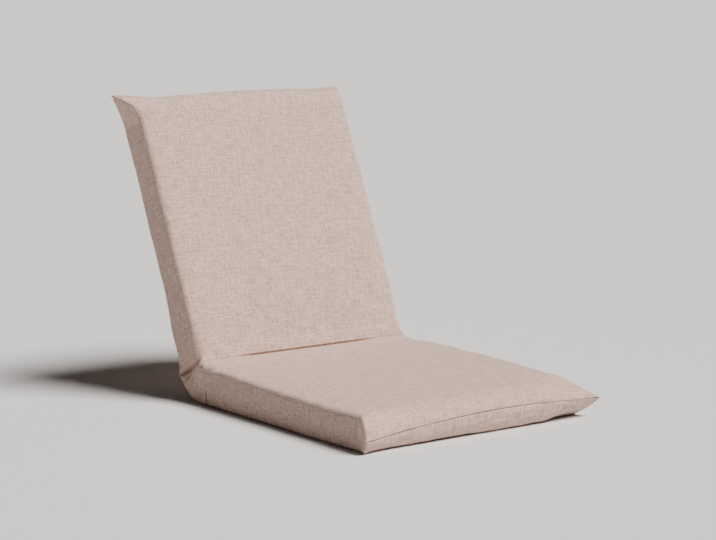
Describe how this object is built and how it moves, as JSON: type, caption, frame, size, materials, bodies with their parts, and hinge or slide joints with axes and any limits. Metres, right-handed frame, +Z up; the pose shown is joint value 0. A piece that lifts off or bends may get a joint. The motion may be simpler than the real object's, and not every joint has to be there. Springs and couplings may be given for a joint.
{
  "type": "folding floor chair",
  "caption": "Legless floor chair: padded seat and back in one linen-look sleeve cover, over tube frames joined by ratchet hinges, folding shut or lying flat.",
  "frame": {"origin": "on the floor, under the middle of the seat's flat underside", "axes": "+Z up; the sitter faces -Y; +X is the sitter's left; the back hinges on a line along X"},
  "size_m": [0.46, 0.7132, 0.4921],
  "materials": {
    "cover_fabric": "slubby plain weave, matt",
    "wadding": "white polyester wadding",
    "foam": "pale upholstery foam",
    "webbing": "black elastic webbing",
    "frame_paint": "black powder coat",
    "hinge_steel": "zinc plated",
    "rivet_steel": "bright",
    "zip_tape": "woven tape",
    "zip_coil": "moulded coil",
    "zip_metal": "lacquered"
  },
  "bodies": {
    "seat": {"seat_cover": "cover_fabric", "hinge_cover": "cover_fabric", "seat_wadding": "wadding", "seat_face_foam": "foam", "seat_frame_foam": "foam", "seat_tube_frame": "frame_paint", "seat_cross_bar": "frame_paint", "seat_webbing": "webbing", "zip_front_tape": "zip_tape", "zip_rear_tape": "zip_tape", "zip_coil": "zip_coil", "zip_stops": "zip_metal", "left_outer_cheek": "hinge_steel", "left_inner_cheek": "hinge_steel", "left_hinge_pivot": "rivet_steel", "left_pawl_pin": "rivet_steel", "left_pawl_spring": "hinge_steel", "left_seat_rivets": "rivet_steel", "right_outer_cheek": "hinge_steel", "right_inner_cheek": "hinge_steel", "right_hinge_pivot": "rivet_steel", "right_pawl_pin": "rivet_steel", "right_pawl_spring": "hinge_steel", "right_seat_rivets": "rivet_steel"},
    "back": {"back_cover": "cover_fabric", "back_wadding": "wadding", "back_face_foam": "foam", "back_frame_foam": "foam", "back_tube_frame": "frame_paint", "back_cross_bar": "frame_paint", "back_webbing": "webbing", "left_ratchet_arm": "hinge_steel", "left_back_rivets": "rivet_steel", "right_ratchet_arm": "hinge_steel", "right_back_rivets": "rivet_steel"},
    "left_pawl": {"left_pawl": "hinge_steel"},
    "right_pawl": {"right_pawl": "hinge_steel"},
    "zip_slider": {"zip_slider": "zip_metal"},
    "zip_tab": {"zip_pull_tab": "zip_metal"}
  },
  "joints": [
    {"name": "back_recline", "type": "hinge", "parent": "seat", "child": "back", "pos_m": [0, 0.24, 0.067], "axis": [1, 0, 0], "range_deg": [-66, 106], "deforming": ["hinge_cover"]},
    {"name": "left_pawl_turn", "type": "hinge", "parent": "seat", "child": "left_pawl", "pos_m": [0.178, 0.214, 0.029], "axis": [-1, 0, 0], "range_deg": [-4.2, 2.8]},
    {"name": "right_pawl_turn", "type": "hinge", "parent": "seat", "child": "right_pawl", "pos_m": [-0.178, 0.214, 0.029], "axis": [-1, 0, 0], "range_deg": [-4.2, 2.8]},
    {"name": "zip_slide", "type": "slide", "parent": "seat", "child": "zip_slider", "axis": [1, 0, 0], "range_m": [0, 0.359]},
    {"name": "zip_tab_turn", "type": "hinge", "parent": "zip_slider", "child": "zip_tab", "pos_m": [-0.1795, 0.218, 0.00255], "axis": [0, 1, 0], "range_deg": [0, 180]}
  ],
  "couplings": [
    {"joint": "right_pawl_turn", "follows": "left_pawl_turn", "ratio": 1}
  ]
}
